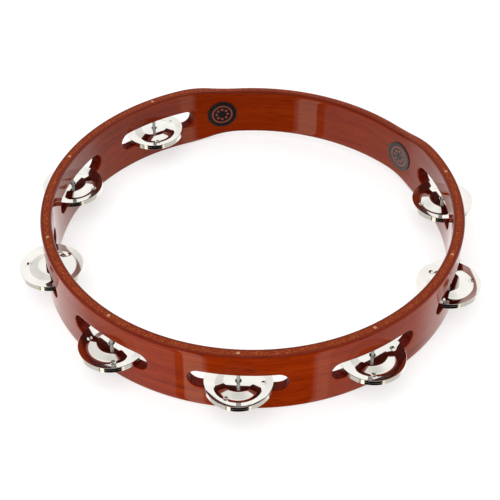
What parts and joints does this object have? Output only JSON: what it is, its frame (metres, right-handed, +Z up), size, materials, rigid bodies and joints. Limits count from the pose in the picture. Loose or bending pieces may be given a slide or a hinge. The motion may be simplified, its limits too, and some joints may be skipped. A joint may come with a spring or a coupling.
{
  "type": "tambourine",
  "caption": "Headless hand tambourine: a round bent-wood hoop with a slimmed hand grip and a row of slots, each holding a loose pair of steel jingles on an upright pin.",
  "frame": {"origin": "on the hoop's axis, in the plane of the lower rim", "axes": "+Z up along the hoop's axis, +Y from the axis to the middle of the hand grip, +X to its right seen from above with the grip at the top"},
  "size_m": [0.2852, 0.2635, 0.041],
  "materials": {
    "lacquered_wood": "red-brown stain under gloss lacquer",
    "badge": "thin gloss black badge with a plain ring device",
    "pin_steel": "drawn steel wire, bright",
    "wood_filler": "pale filler, sanded flush and lacquered",
    "jingle_steel": "nickel-plated steel, polished"
  },
  "bodies": {
    "frame": {"hoop": "lacquered_wood", "badge_left": "badge", "badge_right": "badge", "jingle_pin_1": "pin_steel", "jingle_pin_2": "pin_steel", "jingle_pin_3": "pin_steel", "jingle_pin_4": "pin_steel", "jingle_pin_5": "pin_steel", "jingle_pin_6": "pin_steel", "jingle_pin_7": "pin_steel", "jingle_pin_8": "pin_steel", "pin_plug_1": "wood_filler", "pin_plug_2": "wood_filler", "pin_plug_3": "wood_filler", "pin_plug_4": "wood_filler", "pin_plug_5": "wood_filler", "pin_plug_6": "wood_filler", "pin_plug_7": "wood_filler", "pin_plug_8": "wood_filler"},
    "lower_1": {"lower_jingle_1": "jingle_steel"},
    "upper_1": {"upper_jingle_1": "jingle_steel"},
    "lower_2": {"lower_jingle_2": "jingle_steel"},
    "upper_2": {"upper_jingle_2": "jingle_steel"},
    "lower_3": {"lower_jingle_3": "jingle_steel"},
    "upper_3": {"upper_jingle_3": "jingle_steel"},
    "lower_4": {"lower_jingle_4": "jingle_steel"},
    "upper_4": {"upper_jingle_4": "jingle_steel"},
    "lower_5": {"lower_jingle_5": "jingle_steel"},
    "upper_5": {"upper_jingle_5": "jingle_steel"},
    "lower_6": {"lower_jingle_6": "jingle_steel"},
    "upper_6": {"upper_jingle_6": "jingle_steel"},
    "lower_7": {"lower_jingle_7": "jingle_steel"},
    "upper_7": {"upper_jingle_7": "jingle_steel"},
    "lower_8": {"lower_jingle_8": "jingle_steel"},
    "upper_8": {"upper_jingle_8": "jingle_steel"}
  },
  "joints": [
    {"name": "lower_slide_1", "type": "slide", "parent": "frame", "child": "lower_1", "axis": [0, 0, 1], "range_m": [0, 0.0035]},
    {"name": "upper_slide_1", "type": "slide", "parent": "lower_1", "child": "upper_1", "axis": [0, 0, 1], "range_m": [0, 0.0035]},
    {"name": "lower_slide_2", "type": "slide", "parent": "frame", "child": "lower_2", "axis": [0, 0, 1], "range_m": [0, 0.0035]},
    {"name": "upper_slide_2", "type": "slide", "parent": "lower_2", "child": "upper_2", "axis": [0, 0, 1], "range_m": [0, 0.0035]},
    {"name": "lower_slide_3", "type": "slide", "parent": "frame", "child": "lower_3", "axis": [0, 0, 1], "range_m": [0, 0.0035]},
    {"name": "upper_slide_3", "type": "slide", "parent": "lower_3", "child": "upper_3", "axis": [0, 0, 1], "range_m": [0, 0.0035]},
    {"name": "lower_slide_4", "type": "slide", "parent": "frame", "child": "lower_4", "axis": [0, 0, 1], "range_m": [0, 0.0035]},
    {"name": "upper_slide_4", "type": "slide", "parent": "lower_4", "child": "upper_4", "axis": [0, 0, 1], "range_m": [0, 0.0035]},
    {"name": "lower_slide_5", "type": "slide", "parent": "frame", "child": "lower_5", "axis": [0, 0, 1], "range_m": [0, 0.0035]},
    {"name": "upper_slide_5", "type": "slide", "parent": "lower_5", "child": "upper_5", "axis": [0, 0, 1], "range_m": [0, 0.0035]},
    {"name": "lower_slide_6", "type": "slide", "parent": "frame", "child": "lower_6", "axis": [0, 0, 1], "range_m": [0, 0.0035]},
    {"name": "upper_slide_6", "type": "slide", "parent": "lower_6", "child": "upper_6", "axis": [0, 0, 1], "range_m": [0, 0.0035]},
    {"name": "lower_slide_7", "type": "slide", "parent": "frame", "child": "lower_7", "axis": [0, 0, 1], "range_m": [0, 0.0035]},
    {"name": "upper_slide_7", "type": "slide", "parent": "lower_7", "child": "upper_7", "axis": [0, 0, 1], "range_m": [0, 0.0035]},
    {"name": "lower_slide_8", "type": "slide", "parent": "frame", "child": "lower_8", "axis": [0, 0, 1], "range_m": [0, 0.0035]},
    {"name": "upper_slide_8", "type": "slide", "parent": "lower_8", "child": "upper_8", "axis": [0, 0, 1], "range_m": [0, 0.0035]}
  ]
}
